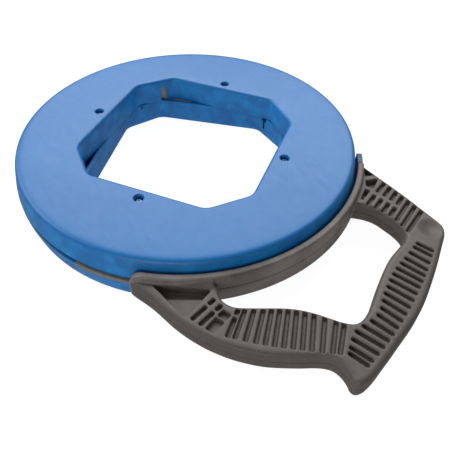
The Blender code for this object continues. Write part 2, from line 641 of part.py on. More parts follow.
def main():
    clear_scene()
    blue = material("blue_plastic", (0.10, 0.28, 0.60), 0.42)
    grey = material("grey_plastic", (0.075, 0.068, 0.062), 0.55)
    rail_grey = material("rail_plastic", (0.13, 0.12, 0.10), 0.5)
    steel = material("tape_steel", (0.32, 0.30, 0.25), 0.38, 1.0)
    zinc = material("screw_zinc", (0.45, 0.46, 0.48), 0.35, 1.0)

    case_axis = empty("case_axis", 0.0, 0.0, 0.0, CASE_TURN)
    case_half("upper_case_shell", 1, 0.0, PLATE, UPPER_SLITS, case_axis, blue)
    case_half("lower_case_shell", -1, LOWER_OPENING_TURN, LOWER_WALL, LOWER_SLITS, case_axis, blue)
    case_screws(case_axis, zinc)
    tape_coil(case_axis, steel)
    anchor_clip(case_axis, steel)
    tape_tail(case_axis, steel)

    leader_line = empty("leader_line", *leader_start(), MID, LEADER_ANGLE)
    tape_leader(leader_line, steel)

    guide_rail(rail_grey)
    exit_nozzle(blue)
    handle_half("handle_upper_half", 1, grey)
    handle_half("handle_lower_half", -1, grey)
    handle_screws(zinc)
    centre_on_origin()


def centre_on_origin():
    """Moves everything so that the whole reel's outline is centred on the origin."""
    grip_reach = max(x for x, y in smooth_path(HANDLE_OUTER_POINTS, 2))
    shift = (CASE_RADIUS - grip_reach) / 2 * MM
    for obj in list(parts.objects) + list(cutters.objects):
        if obj.parent is None:
            obj.location.x += shift


main()
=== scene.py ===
"""Looks of the fish tape reel: a blue two-part case that turns inside a dark grey two-part D handle.

Shapes are in millimetres and degrees; merge distances, materials, lights and the camera's place are in
metres. Plan positions are measured from the case's axis, +X towards the grip, and heights from the surface
that the reel lies on.
"""

import json
import math

import bmesh
import bpy
import numpy as np
from mathutils import Matrix, Vector


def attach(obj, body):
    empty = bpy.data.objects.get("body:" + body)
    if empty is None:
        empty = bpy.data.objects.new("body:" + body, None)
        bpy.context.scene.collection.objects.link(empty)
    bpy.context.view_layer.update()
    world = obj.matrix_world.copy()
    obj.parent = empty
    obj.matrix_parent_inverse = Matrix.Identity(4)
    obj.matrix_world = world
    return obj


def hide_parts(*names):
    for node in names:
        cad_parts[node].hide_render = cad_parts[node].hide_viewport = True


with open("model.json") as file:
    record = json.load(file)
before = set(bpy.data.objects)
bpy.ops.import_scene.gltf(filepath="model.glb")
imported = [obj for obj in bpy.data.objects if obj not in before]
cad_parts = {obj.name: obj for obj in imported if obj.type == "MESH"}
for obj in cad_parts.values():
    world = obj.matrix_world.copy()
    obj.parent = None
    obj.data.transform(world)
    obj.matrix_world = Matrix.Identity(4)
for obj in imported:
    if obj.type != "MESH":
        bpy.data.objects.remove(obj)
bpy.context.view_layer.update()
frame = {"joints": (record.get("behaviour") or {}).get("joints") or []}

MM = 0.001
joints = {joint["name"]: joint for joint in frame["joints"]}
AXIS_X = joints["case_spin"]["pos_m"][0]  # of the case's axis, in metres
MID = joints["case_spin"]["pos_m"][2] / MM
HEIGHT = 2 * MID
SEAM = 0.04  # half of the hairline left at each parting line

# Case
CASE_TURN = 29.1
CASE_RADIUS = 155.37
SHOULDER_RADIUS = 144.3  # where the rounded shoulder meets the flat face
OPENING_HALF_WIDTH = 82.2
OPENING_CORNER_DISTANCE = 96.0
OPENING_CORNER_RADIUS = 13.0
OPENING_EDGE_ROUND = 3.4
UPPER_WALL = 2.5
LOWER_WALL = 3.6
LOWER_TURN = 9.7
CEILING = 20.5  # height of the plate's inner face above mid height
AROUND = 480  # samples round the case
SCREW_CIRCLE = 93.0
BOSS_RADIUS = 6.2
RECESS_RADIUS = 4.2
RECESS_DEPTH = 5.5
CASE_SCREW_HOLE = 2.3  # radius
CASE_SCREW_CREST = 1.9  # radius of the thread's crests
CASE_SCREW_ROOT = 1.62
CASE_THREAD_PITCH = 1.25
SLIT_REACH = (-4.0, 8.0)  # of a slit's cutter, either side of the wall's inner face
UPPER_SLITS = [(130.0, 6.5, 9.0), (130.0, 4.2, 15.0)]  # angle, width, height
LOWER_SLITS = [(60.4, 7.0, 5.0), (60.4, 3.0, 14.0)]

# Small holes in the lower wall: distance and direction of the wall, place along it, height
LOWER_HOLES = [(96.0, 135.0 + LOWER_TURN, 1.3, 20.6), (82.2, 180.0 + LOWER_TURN, -0.7, 8.0)]
SMALL_HOLE_RADIUS = 1.15

# Tape: the windings, the inner run to the anchor clip, the outer run to the outlet and its formed end
WINDING_RADIUS = 134.9  # of the innermost turn's middle
WINDING_PITCH = 1.58
WINDINGS_WIDE = 8
WINDING_ROWS = 5
ROW_PITCH = 3.2
LOWEST_ROW = -6.4  # from mid height
WOBBLE = 0.10
TAIL_START_RADIUS = 103.2
TAIL_END_RADIUS = 132.5
TAIL_START = 142.5
TAIL_TURN = 190.0
TAIL_STEPS = 160
LEADER_RADIUS = 148.05  # where the outer run leaves the windings
LEADER_ANGLE = math.degrees(math.atan2(-joints["tape_feed"]["axis"][0], joints["tape_feed"]["axis"][1]))
LEADER_LENGTH = 52.5
TIP_LENGTH = 5.0
CLIP_GAP = 0.3
CLIP_TAB_LOW = 21.3
CLIP_TAB_HIGH = 22.5
CLIP_TAB_START = 20.0  # along the lower wall's side
CLIP_TAB_DEPTH = 5.0
CLIP_ARM_TOP = 37.5

# Handle
SADDLE_INNER = 156.0
SADDLE_OUTER = 161.5
SADDLE_START = -51.7
SADDLE_END = 41.5
SADDLE_HALF_HEIGHT = 14.5
SADDLE_START_ROUND = 9.6
SADDLE_END_ROUND = 6.0
SADDLE_LIP_ROUND = 1.6  # of the wall's outer edge, beside the flat of its top
LEG_HALF_HEIGHT = 9.5
FILLET_RADIUS = 160.4  # of the slope's upper end, inside the saddle's wall
FILLET_HEIGHT = 12.9  # of the same, above mid height
FILLET_ANGLE = -45.4
FILLET_SPAN = 15.6
FILLET_FOOT = ((114.6, -114.7), (145.4, -84.0))  # ends of the slope's lower edge
LEG_ROOT_RADIUS = 146.0
LEG_END_RADIUS = 157.5  # of the cut that leaves room for the case
LEG_EDGE_ROUND = 3.4
DISH_PLACE = (206.5, 88.0)
DISH_RADIUS = 14.0
DISH_DEPTH = 2.1
DISH_RISE = 0.25  # of the cutter's edge above the leg's top
FINGER_START = -29.4
FINGER_END = 22.4
SLOT_DEPTH = 3.6
SLOT_WIDTH = 3.2
UPPER_LEG_SLOTS = 7
UPPER_LEG_SPLIT = 4  # the first of these are split by the cross rib
RAIL_START = -69.5
RAIL_END = 29.5
HANDLE_VOXEL = 0.62
GROOVE_HALF_HEIGHT = 2.05  # of the groove that holds the rail
NOZZLE_OUTER = 161.2
NOZZLE_END = 46.7
NOZZLE_HALF_HEIGHT = 11.0
TENON_INNER = 157.8
TENON_OUTER = 160.2
TENON_START = 37.0
TENON_HALF_HEIGHT = 3.0
MORTISE_PLAY = 0.3
SCREW_PLACES = [(209.5, 86.0), (251.0, -52.5), (122.0, -117.6), (138.5, 83.0), (146.3, -88.5), (231.2, 8.2)]
SCREW_RECESS_RADIUS = 3.0
SCREW_HOLE_RADIUS = 1.4
SCREW_HOLE_TOP = 29.8

OUTER_EDGE = [
    (100.4, -126.6), (105.0, -126.0), (123.0, -121.8), (148.0, -118.6), (168.0, -113.0), (184.5, -105.4),
    (197.0, -97.2), (207.8, -88.0), (220.3, -73.8), (228.3, -63.6), (235.2, -57.6), (242.0, -56.2),
    (248.6, -57.4), (252.8, -59.2), (256.5, -58.2), (258.35, -54.0), (258.64, -49.0), (258.2, -43.0),
    (257.0, -35.0), (253.4, -13.0), (247.1, 19.0), (234.4, 53.2), (221.2, 82.8), (216.8, 92.0), (211.9, 97.6),
    (205.8, 99.8), (188.0, 101.8), (167.0, 104.0), (121.5, 106.6),
]
FINGER_EDGE = [
    (141.0, -77.6), (148.5, -82.4), (155.5, -84.4), (162.0, -82.8), (166.5, -79.6), (173.6, -71.3),
    (185.0, -57.2), (193.0, -48.9), (202.5, -41.8), (212.9, -36.0), (220.5, -31.6), (225.8, -26.6),
    (227.0, -20.0), (225.2, -12.0), (221.8, -3.5), (214.6, 11.9), (209.3, 24.5), (204.6, 38.5), (202.2, 52.0),
    (200.4, 61.5), (195.8, 68.4), (187.5, 71.2), (176.0, 71.6), (166.5, 71.0), (157.5, 67.2), (146.8, 59.0),
]
GRIP_SLOTS_INNER = [(208.1, 65.6), (211.5, 46.3), (215.2, 26.9), (222.3, 8.4), (230.5, -9.9), (229.8, -31.6),
                    (237.5, -47.6)]
GRIP_SLOTS_OUTER = [(222.3, 68.8), (230.4, 49.6), (236.6, 32.1), (242.5, 12.3), (247.4, -7.7), (250.8, -26.4),
                    (253.0, -44.5)]
LEG_SLOTS_INNER = [(168.5, -80.8), (179.1, -67.2), (190.0, -54.2), (203.8, -43.1), (221.7, -32.7)]
LEG_SLOTS_OUTER = [(180.6, -101.0), (195.8, -89.6), (209.6, -77.6), (222.6, -65.2), (235.6, -52.8)]
FOOT_SLOTS = [((151.8, -88.3), (155.3, -111.2), 3.0), ((158.7, -87.6), (162.0, -109.6), 3.2)]
WIDE_FOOT_SLOT = ((165.6, -88.6), (169.9, -107.2), 7.2)
# Pockets in the top face: outline and depth
POCKETS = {
    "foot": ([(113.9, -115.6), (143.2, -86.2), (144.5, -86.2), (151.0, -111.6), (149.4, -114.2)], 5.0),
    "foot_deep": ([(114.6, -115.2), (143.2, -86.6), (144.3, -86.6), (145.6, -91.6), (128.6, -112.8),
                   (126.4, -114.9)], 8.0),
    "root_edge": ([(124.3, 104.4), (136.4, 103.8), (132.6, 96.0)], 5.0),
    "root_middle": ([(136.6, 91.7), (141.6, 102.8), (146.3, 91.3), (146.4, 88.0), (141.2, 87.0)], 5.0),
    "root_inner": ([(143.3, 83.2), (147.3, 84.7), (151.2, 69.6), (149.0, 71.2)], 5.0),
}

# Camera: place from the case's axis in metres, then lens in millimetres, turn, height angle and roll
CAMERA_PLACE = (0.30882, -0.21220, 0.31730)
CAMERA_LENS = 39.608
CAMERA_TURN = 50.0
CAMERA_HEIGHT_ANGLE = 46.4503
CAMERA_ROLL = 1.0198

scene = bpy.context.scene
made = bpy.data.collections.new("reel")
scene.collection.children.link(made)


# ---------------------------------------------------------------- plan helpers

def polar(radius, angle):
    """The plan point at a distance and direction from the case's axis."""
    turn = math.radians(angle)
    return (radius * math.cos(turn), radius * math.sin(turn))


def arc(radius, start, end, steps):
    return [polar(radius, start + (end - start) * i / steps) for i in range(steps + 1)]


def band(inner, outer, start, end, steps):
    """The outline of a stretch of ring."""
    return arc(outer, start, end, steps) + arc(inner, end, start, steps)


def smooth_path(points, steps):
    """A Catmull-Rom curve through the points, with the given steps a span."""
    path = []
    last = len(points) - 1
    for i in range(last):
        p0, p1, p2, p3 = (Vector(points[min(max(k, 0), last)]) for k in (i - 1, i, i + 1, i + 2))
        for step in range(steps):
            t = step / steps
            path.append(tuple(0.5 * (2 * p1 + (p2 - p0) * t + (2 * p0 - 5 * p1 + 4 * p2 - p3) * t * t
                                     + (3 * p1 - p0 - 3 * p2 + p3) * t ** 3)))
    path.append(tuple(points[-1]))
    return path


def corner_point(first_distance, first_angle, second_distance, second_angle):
    """Where two walls meet, each given by its distance and direction from the axis."""
    normals = Matrix((polar(1.0, first_angle), polar(1.0, second_angle)))
    return normals.inverted() @ Vector((first_distance, second_distance))


def opening_outline(offset, turn):
    """The square opening with cut and rounded corners, as a closed outline."""
    outline = []
    for i in range(8):
        distances = [OPENING_HALF_WIDTH + offset, OPENING_CORNER_DISTANCE + offset]
        first, second = distances[i % 2], distances[(i + 1) % 2]
        first_angle, second_angle = 45.0 * i + turn, 45.0 * (i + 1) + turn
        radius = OPENING_CORNER_RADIUS + offset
        corner = corner_point(first - radius, first_angle, second - radius, second_angle)
        outline += [(corner.x + x, corner.y + y) for x, y in arc(radius, first_angle, second_angle, 10)]
    return outline


def opening_radii(offset, turn, angles):
    """How far from the axis the opening's outline is in each direction."""
    outline = np.array(opening_outline(offset, turn))
    following = np.roll(outline, -1, axis=0)
    directions = np.stack([np.cos(angles), np.sin(angles)], axis=1)
    edge = following - outline
    cross_start = outline[:, 0] * edge[:, 1] - outline[:, 1] * edge[:, 0]
    cross_ray = directions[:, None, 0] * edge[None, :, 1] - directions[:, None, 1] * edge[None, :, 0]
    reach = cross_start[None, :] / np.where(np.abs(cross_ray) < 1e-9, 1e-9, cross_ray)
    hit = directions[:, None, :] * reach[:, :, None]
    share = ((hit - outline[None]) * edge[None]).sum(axis=2) / (edge ** 2).sum(axis=1)[None, :]
    usable = (reach > 0) & (share >= -1e-6) & (share <= 1 + 1e-6)
    return np.where(usable, reach, np.inf).min(axis=1)


# ---------------------------------------------------------------- mesh helpers

def add_piece(name, mesh):
    piece = bpy.data.objects.new(name, mesh)
    made.objects.link(piece)
    return piece


def mesh_from(name, points, faces):
    """A mesh from points in millimetres."""
    mesh = bpy.data.meshes.new(name)
    mesh.from_pydata([tuple(c * MM for c in p) for p in points], [], faces)
    bm = bmesh.new()
    bm.from_mesh(mesh)
    bmesh.ops.remove_doubles(bm, verts=bm.verts, dist=1e-6)
    bmesh.ops.recalc_face_normals(bm, faces=bm.faces)
    bm.to_mesh(mesh)
    bm.free()
    return mesh


def rows_to_piece(name, rows, ends_meet, capped=False):
    """Skins closed rows of points; the last row meets the first, or both ends can be capped."""
    count = len(rows[0])
    points = [tuple(p) for row in rows for p in row]
    faces = []
    last = len(rows) if ends_meet else len(rows) - 1
    for j in range(last):
        this, other = j * count, ((j + 1) % len(rows)) * count
        for k in range(count):
            following = (k + 1) % count
            faces.append((this + k, this + following, other + following, other + k))
    if capped:
        faces.append(tuple(range(count)))
        faces.append(tuple(range((len(rows) - 1) * count, len(rows) * count)))
    return add_piece(name, mesh_from(name, points, faces))


def sweep(name, path, section, closed=False):
    """Sweeps a section of (left, up) points along a flat path at mid height."""
    rows = []
    last = len(path) - 1
    for i, point in enumerate(path):
        before = Vector(path[i - 1 if closed else max(i - 1, 0)])
        after = Vector(path[(i + 1) % len(path) if closed else min(i + 1, last)])
        along = (after - before).normalized()
        rows.append([(point[0] - along.y * left, point[1] + along.x * left, MID + up)
                     for left, up in section])
    return rows_to_piece(name, rows, ends_meet=closed, capped=not closed)


def rounded_section(left_low, left_high, low, high, rounding, steps=3):
    """A rectangle with rounded corners, as (left, up) points."""
    section = []
    corners = [(left_high, high, 0.0), (left_low, high, 90.0), (left_low, low, 180.0),
               (left_high, low, 270.0)]
    for left, up, start in corners:
        centre = (left - rounding * (1 if left == left_high else -1),
                  up - rounding * (1 if up == high else -1))
        for x, y in arc(rounding, start, start + 90.0, steps):
            section.append((centre[0] + x, centre[1] + y))
    return section


def lathe(name, profile, centre=(0.0, 0.0), steps=48):
    """Turns a profile of (radius, height) points, from axis to axis, about an upright line."""
    rows = []
    for radius, height in profile:
        ring = [polar(max(radius, 1e-4), 360.0 * k / steps) for k in range(steps)]
        rows.append([(centre[0] + x, centre[1] + y, height) for x, y in ring])
    return rows_to_piece(name, rows, ends_meet=False, capped=True)


def prism(name, outline, low, high, edge_round=0.0, resolution=4):
    """An upright solid between two heights, its top and bottom edges rounded if asked."""
    curve = bpy.data.curves.new(name + "_outline", "CURVE")
    curve.dimensions = "2D"
    curve.fill_mode = "BOTH"
    curve.extrude = ((high - low) / 2 - edge_round) * MM
    curve.bevel_depth = edge_round * MM
    curve.bevel_resolution = resolution
    curve.offset = -edge_round * MM
    spline = curve.splines.new("POLY")
    spline.points.add(len(outline) - 1)
    for point, (x, y) in zip(spline.points, outline):
        point.co = (x * MM, y * MM, 0.0, 1.0)
    spline.use_cyclic_u = True
    guide = bpy.data.objects.new(name + "_guide", curve)
    scene.collection.objects.link(guide)
    bpy.context.view_layer.update()
    mesh = bpy.data.meshes.new_from_object(guide.evaluated_get(bpy.context.evaluated_depsgraph_get()))
    bpy.data.objects.remove(guide)
    bm = bmesh.new()
    bm.from_mesh(mesh)
    bmesh.ops.remove_doubles(bm, verts=bm.verts, dist=1e-5)
    bmesh.ops.translate(bm, verts=bm.verts, vec=(0.0, 0.0, (low + high) / 2 * MM))
    bmesh.ops.recalc_face_normals(bm, faces=bm.faces)
    bm.to_mesh(mesh)
    bm.free()
    return add_piece(name, mesh)


def stadiums(name, places, low, high, steps=6):
    """One cutter with a round-ended bar for each (start, end, width)."""
    points, faces = [], []
    for start, end, width in places:
        start, end = Vector(start), Vector(end)
        heading = math.degrees(math.atan2(end.y - start.y, end.x - start.x))
        run = (end - start).normalized() * (width / 2)
        ring = [(end.x - run.x + x, end.y - run.y + y)
                for x, y in arc(width / 2, heading - 90, heading + 90, steps)]
        ring += [(start.x + run.x + x, start.y + run.y + y)
                 for x, y in arc(width / 2, heading + 90, heading + 270, steps)]
        base, count = len(points), len(ring)
        points += [(x, y, low) for x, y in ring] + [(x, y, high) for x, y in ring]
        faces.append(tuple(range(base + count - 1, base - 1, -1)))
        faces.append(tuple(range(base + count, base + 2 * count)))
        for k in range(count):
            following = (k + 1) % count
            faces.append((base + k, base + following, base + count + following, base + count + k))
    return add_piece(name, mesh_from(name, points, faces))


def bars(name, places, low, high):
    """One cutter with a square-ended bar for each (start, end, width)."""
    points, faces = [], []
    for start, end, width in places:
        start, end = Vector(start), Vector(end)
        side = (end - start).normalized() * (width / 2)
        ring = [(start.x + side.y, start.y - side.x), (end.x + side.y, end.y - side.x),
                (end.x - side.y, end.y + side.x), (start.x - side.y, start.y + side.x)]
        base = len(points)
        points += [(x, y, low) for x, y in ring] + [(x, y, high) for x, y in ring]
        faces += [(base + 3, base + 2, base + 1, base), (base + 4, base + 5, base + 6, base + 7)]
        faces += [(base + k, base + (k + 1) % 4, base + 4 + (k + 1) % 4, base + 4 + k) for k in range(4)]
    return add_piece(name, mesh_from(name, points, faces))


def posts(name, centres, profile, steps=40):
    """Turned solids of one profile at several places, as one piece."""
    parts = [lathe(f"{name}_{i}", profile, centre, steps) for i, centre in enumerate(centres)]
    return merge(parts)


def merge(parts):
    """Joins pieces into the first one's mesh."""
    bm = bmesh.new()
    for part in parts:
        bm.from_mesh(part.data)
    bm.to_mesh(parts[0].data)
    bm.free()
    for part in parts[1:]:
        bpy.data.objects.remove(part)
    return parts[0]


def settle(piece):
    """Replaces a piece's mesh by what its modifiers make of it."""
    bpy.context.view_layer.update()
    mesh = bpy.data.meshes.new_from_object(piece.evaluated_get(bpy.context.evaluated_depsgraph_get()))
    piece.modifiers.clear()
    piece.data = mesh


def carve(piece, *cutters, operation="DIFFERENCE"):
    """Cuts pieces away from another, or joins them to it, and removes them."""
    for cutter in cutters:
        boolean = piece.modifiers.new("cut", "BOOLEAN")
        boolean.operation = operation
        boolean.object = cutter
        boolean.solver = "EXACT"
    settle(piece)
    for cutter in cutters:
        bpy.data.objects.remove(cutter)


def mend(piece):
    """Takes out the faces without an area that a cut can leave."""
    bm = bmesh.new()
    bm.from_mesh(piece.data)
    bmesh.ops.remove_doubles(bm, verts=bm.verts, dist=2e-6)
    bmesh.ops.dissolve_degenerate(bm, edges=bm.edges, dist=2e-6)
    bm.to_mesh(piece.data)
    bm.free()


def soften(piece, voxel, passes):
    """Remeshes a carved solid finely and relaxes it, which rounds its edges softly like a moulding's."""
    remesh = piece.modifiers.new("fine", "REMESH")
    remesh.mode = "VOXEL"
    remesh.voxel_size = voxel * MM
    relax = piece.modifiers.new("relax", "SMOOTH")
    relax.factor = 0.5
    relax.iterations = passes
    settle(piece)


def turned(piece, angle):
    """Turns a piece's mesh about the case's axis."""
    piece.data.transform(Matrix.Rotation(math.radians(angle), 4, "Z"))


def finish_piece(piece, body, slot_name, surface, *nodes, smooth_angle=35.0):
    """Shifts a piece to its place in the frame, shades it and has it stand for its CAD nodes."""
    piece.data.transform(Matrix.Translation((AXIS_X, 0.0, 0.0)))
    piece.data.materials.clear()
    piece.data.materials.append(surface)
    piece.data.shade_smooth()
    if smooth_angle:
        piece.data.set_sharp_from_angle(angle=math.radians(smooth_angle))
    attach(piece, body)
    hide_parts(*nodes)


# ---------------------------------------------------------------- materials

def new_material(name):
    surface = bpy.data.materials.new(name)
    surface.use_nodes = True
    nodes = surface.node_tree.nodes
    return surface, nodes, surface.node_tree.links, nodes["Principled BSDF"]


def noise(nodes, links, source, scale, detail, roughness=0.5, stretch=None):
    """A noise texture's value, its coordinates scaled first by stretch if given."""
    texture = nodes.new("ShaderNodeTexNoise")
    texture.inputs["Scale"].default_value = scale
    texture.inputs["Detail"].default_value = detail
    texture.inputs["Roughness"].default_value = roughness
    if stretch:
        mapping = nodes.new("ShaderNodeMapping")
        mapping.inputs["Scale"].default_value = stretch
        links.new(source, mapping.inputs["Vector"])
        source = mapping.outputs["Vector"]
    links.new(source, texture.inputs["Vector"])
    return texture.outputs["Fac"]


def spread(nodes, links, value, low, high, from_low=0.3, from_high=0.7):
    """Maps a texture's value onto a range."""
    mapped = nodes.new("ShaderNodeMapRange")
    for socket, number in zip(("From Min", "From Max", "To Min", "To Max"), (from_low, from_high, low, high)):
        mapped.inputs[socket].default_value = number
    links.new(value, mapped.inputs["Value"])
    return mapped.outputs["Result"]


def blend_colours(nodes, links, factor, first, second):
    mix = nodes.new("ShaderNodeMix")
    mix.data_type = "RGBA"
    links.new(factor, mix.inputs["Factor"])
    for socket, colour in ((mix.inputs["A"], first), (mix.inputs["B"], second)):
        if isinstance(colour, tuple):
            socket.default_value = (*colour, 1.0)
        else:
            links.new(colour, socket)
    return mix.outputs["Result"]


def bumped(nodes, links, shader, heights):
    """Stacks bumps: (texture value, strength, depth in metres)."""
    normal = None
    for value, strength, depth in heights:
        bump = nodes.new("ShaderNodeBump")
        bump.inputs["Strength"].default_value = strength
        bump.inputs["Distance"].default_value = depth
        links.new(value, bump.inputs["Height"])
        if normal:
            links.new(normal, bump.inputs["Normal"])
        normal = bump.outputs["Normal"]
    links.new(normal, shader.inputs["Normal"])


def plastic(name, colour, paler, rough_low, rough_high, grain, edge_colour, specular):
    """Moulded plastic: slow colour drift, fine texture of the mould, scuffs and paler worn edges."""
    surface, nodes, links, shader = new_material(name)
    place = nodes.new("ShaderNodeTexCoord").outputs["Object"]
    drift = noise(nodes, links, place, 14.0, 3.0)
    mottle = noise(nodes, links, place, 160.0, 4.0, 0.6)
    texture = noise(nodes, links, place, 2600.0, 2.0, 0.6)
    scuffs = noise(nodes, links, place, 60.0, 6.0, 0.75, stretch=(1.0, 6.0, 1.0))
    base = blend_colours(nodes, links, spread(nodes, links, drift, 0.0, 1.0), colour, paler)
    speckled = blend_colours(nodes, links, spread(nodes, links, mottle, 0.0, 0.22), base, edge_colour)
    wear = nodes.new("ShaderNodeNewGeometry").outputs["Pointiness"]
    edges = spread(nodes, links, wear, 0.0, 0.35, 0.52, 0.60)
    worn = blend_colours(nodes, links, edges, speckled, edge_colour)
    links.new(worn, shader.inputs["Base Color"])
    links.new(spread(nodes, links, scuffs, rough_low, rough_high, 0.35, 0.65), shader.inputs["Roughness"])
    shader.inputs["Specular IOR Level"].default_value = specular
    bumped(nodes, links, shader, [(texture, grain, 0.00006), (mottle, 0.25, 0.00008)])
    return surface, nodes, links, shader, place


def product(nodes, links, first, second):
    times = nodes.new("ShaderNodeMath")
    times.operation = "MULTIPLY"
    links.new(first, times.inputs[0])
    links.new(second, times.inputs[1])
    return times.outputs["Value"]


def tint_where(nodes, links, shader, factor, colour):
    """Blends a colour over the shader's base colour."""
    base = shader.inputs["Base Color"].links[0].from_socket
    links.new(blend_colours(nodes, links, factor, base, colour), shader.inputs["Base Color"])


def case_plastic():
    """Slightly milky blue plastic, with painted light: lighter cyan in places on its upright walls, where the
    flat faces stay plain.
    """
    surface, nodes, links, shader, place = plastic(
        "blue_plastic", (0.002, 0.112, 0.340), (0.004, 0.126, 0.365), 0.34, 0.44, 0.35,
        (0.02, 0.17, 0.44), 0.32)
    normal = nodes.new("ShaderNodeTexCoord").outputs["Normal"]
    parts = nodes.new("ShaderNodeSeparateXYZ")
    links.new(normal, parts.inputs["Vector"])
    upright = product(nodes, links, parts.outputs["Z"], parts.outputs["Z"])
    walls = spread(nodes, links, upright, 1.0, 0.0, 0.02, 0.30)
    wall_light_noise = noise(nodes, links, place, 75.0, 4.0, 0.62)
    painted_wall_light = product(nodes, links, walls, spread(nodes, links, wall_light_noise, 0.0, 0.55, 0.42, 0.66))
    # painted light: the upright walls are lightened to a paler cyan in noisy places, standing in for light
    # falling on them
    tint_where(nodes, links, shader, painted_wall_light, (0.004, 0.24, 0.56))
    shader.inputs["Subsurface Weight"].default_value = 0.12
    shader.inputs["Subsurface Radius"].default_value = (0.2, 0.7, 1.0)
    shader.inputs["Subsurface Scale"].default_value = 0.0025
    return surface


def handle_plastic():
    """Dark grey plastic, with a painted highlight: paler in places on the saddle's outer face."""
    surface, nodes, links, shader, place = plastic(
        "dark_grey_plastic", (0.061, 0.051, 0.045), (0.076, 0.065, 0.058), 0.42, 0.54, 0.6,
        (0.115, 0.106, 0.099), 0.3)
    flat = nodes.new("ShaderNodeVectorMath")
    flat.operation = "MULTIPLY_ADD"
    flat.inputs[1].default_value = (1.0, 1.0, 0.0)
    flat.inputs[2].default_value = (-AXIS_X, 0.0, 0.0)
    links.new(place, flat.inputs[0])
    reach = nodes.new("ShaderNodeVectorMath")
    reach.operation = "LENGTH"
    links.new(flat.outputs["Vector"], reach.inputs[0])
    on_saddle = spread(nodes, links, reach.outputs["Value"], 1.0, 0.0, 0.1618, 0.1632)
    saddle_sheen_noise = noise(nodes, links, place, 22.0, 5.0, 0.62)
    painted_saddle_sheen = product(nodes, links, on_saddle, spread(nodes, links, saddle_sheen_noise, 0.1, 1.0, 0.36, 0.60))
    # painted highlight: the saddle's outer face is made paler in noisy places, standing in for a sheen of
    # reflected light
    tint_where(nodes, links, shader, painted_saddle_sheen, (0.165, 0.146, 0.137))
    return surface


def steel(name, colour, darker, rough_low, rough_high, brush, tint, metallic=0.9):
    """Spring or plated steel: drawn marks along the surface, stains and uneven polish."""
    surface, nodes, links, shader = new_material(name)
    place = nodes.new("ShaderNodeTexCoord").outputs["Object"]
    marks = noise(nodes, links, place, 900.0, 3.0, 0.6, stretch=brush)
    stains = noise(nodes, links, place, 90.0, 5.0, 0.65)
    base = blend_colours(nodes, links, spread(nodes, links, marks, 0.0, 1.0), colour, darker)
    stained = blend_colours(nodes, links, spread(nodes, links, stains, 0.0, 0.6, 0.45, 0.7), base, tint)
    links.new(stained, shader.inputs["Base Color"])
    links.new(spread(nodes, links, stains, rough_low, rough_high), shader.inputs["Roughness"])
    shader.inputs["Metallic"].default_value = metallic
    bumped(nodes, links, shader, [(marks, 0.3, 0.00004)])
    return surface


def make_materials():
    return {
        "case": case_plastic(),
        "handle": handle_plastic(),
        # painted shade: the outlet is the case's blue plastic made darker, standing in for the shade on its
        # outer side
        "outlet": plastic("blue_plastic_painted_shade", (0.002, 0.040, 0.130), (0.003, 0.052, 0.160), 0.36, 0.5, 0.35,
                          (0.01, 0.08, 0.22), 0.3)[0],
        "rail": plastic("rail_plastic", (0.10, 0.092, 0.078), (0.13, 0.118, 0.10), 0.35, 0.5, 0.3,
                        (0.2, 0.19, 0.17), 0.5)[0],
        "tape": steel("spring_steel", (0.42, 0.33, 0.30), (0.27, 0.21, 0.19), 0.3, 0.48, (1.0, 1.0, 14.0),
                      (0.30, 0.19, 0.15), 0.7),
        "clip": steel("clip_steel", (0.40, 0.385, 0.28), (0.27, 0.26, 0.19), 0.35, 0.55, (1.0, 8.0, 1.0),
                      (0.2, 0.175, 0.11), 0.4),
        "zinc": steel("blue_zinc_plate", (0.17, 0.26, 0.42), (0.12, 0.19, 0.32), 0.36, 0.52, (6.0, 1.0, 1.0),
                      (0.11, 0.13, 0.17)),
    }


# ---------------------------------------------------------------- case

def shell_rows(side, wall, turn):
    """Rows of points round a case half: up the rim, in to the opening, down its wall and back inside."""
    angles = np.arange(AROUND) * 2 * math.pi / AROUND
    cosine, sine = np.cos(angles), np.sin(angles)

    def ring(radii, height):
        radii = np.broadcast_to(radii, angles.shape)
        return np.stack([radii * cosine, radii * sine, np.full_like(angles, MID + side * height)], axis=1)

    rim = [(154.9, 2.5), (155.25, 2.6), (CASE_RADIUS, 2.95), (155.2, 4.6), (154.8, 7.5), (154.25, 10.3),
           (153.6, 13.0), (153.0, 16.2), (152.55, 18.4), (152.25, 19.6), (151.9, 20.5), (151.4, 21.4),
           (150.7, 22.05), (149.8, 22.5), (148.5, 22.78), (146.5, 22.93), (SHOULDER_RADIUS, 23.0)]
    rows = [ring(radius, height) for radius, height in rim]
    edge = opening_radii(OPENING_EDGE_ROUND, turn, angles)
    for share in (0.25, 0.5, 0.75):
        rows.append(ring(SHOULDER_RADIUS + (edge - SHOULDER_RADIUS) * share, MID))
    for step in range(8):
        swing = math.radians(90.0 * step / 7)
        offset = OPENING_EDGE_ROUND * (1 - math.sin(swing))
        drop = OPENING_EDGE_ROUND * (1 - math.cos(swing))
        rows.append(ring(opening_radii(offset, turn, angles), MID - drop))
    walls = [(0.0, 14.0), (0.0, 7.0), (0.0, 0.5), (0.12, 0.15), (0.4, SEAM), (wall - 0.4, SEAM), (wall, 0.4),
             (wall, 10.0), (wall, CEILING - 1.4), (wall + 0.5, CEILING - 0.4), (wall + 1.5, CEILING)]
    rows += [ring(opening_radii(offset, turn, angles), height) for offset, height in walls]
    inside = [(147.8, CEILING), (149.3, 19.9), (150.2, 18.9), (151.6, 12.5), (152.6, 8.0), (152.7, 2.8),
              (152.9, 2.5)]
    rows += [ring(radius, height) for radius, height in inside]
    return rows


